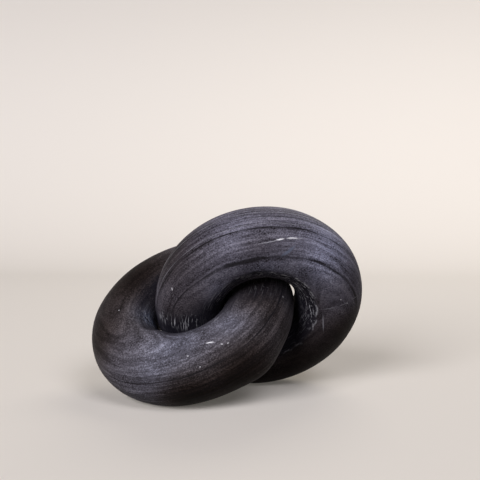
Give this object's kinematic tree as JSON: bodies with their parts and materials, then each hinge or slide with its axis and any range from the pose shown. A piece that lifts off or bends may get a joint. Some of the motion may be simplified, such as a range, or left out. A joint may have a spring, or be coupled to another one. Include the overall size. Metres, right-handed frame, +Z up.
{
  "type": "marble knot sculpture",
  "caption": "Marble knot ornament of round stone rings carved through each other, lying on a table; one ring turns freely in the hole of the other.",
  "frame": {"origin": "on the table, under the middle of the knot's width and depth", "axes": "+Z up; +X from the front ring's centre towards the back ring's centre, seen from above; -Y towards the viewer"},
  "size_m": [0.1564, 0.1068, 0.1073],
  "materials": {
    "front_marble": "honed charcoal marble with grey bands",
    "back_marble": "honed charcoal marble with grey bands and a white vein"
  },
  "bodies": {
    "front_ring": {"front_ring": "front_marble"},
    "back_ring": {"back_ring": "back_marble"}
  },
  "joints": [
    {"name": "back_ring_turn", "type": "hinge", "parent": "front_ring", "child": "back_ring", "pos_m": [0.01913, 0, 0.05348], "axis": [-0.1464, 0.8468, 0.5113], "continuous": true}
  ]
}
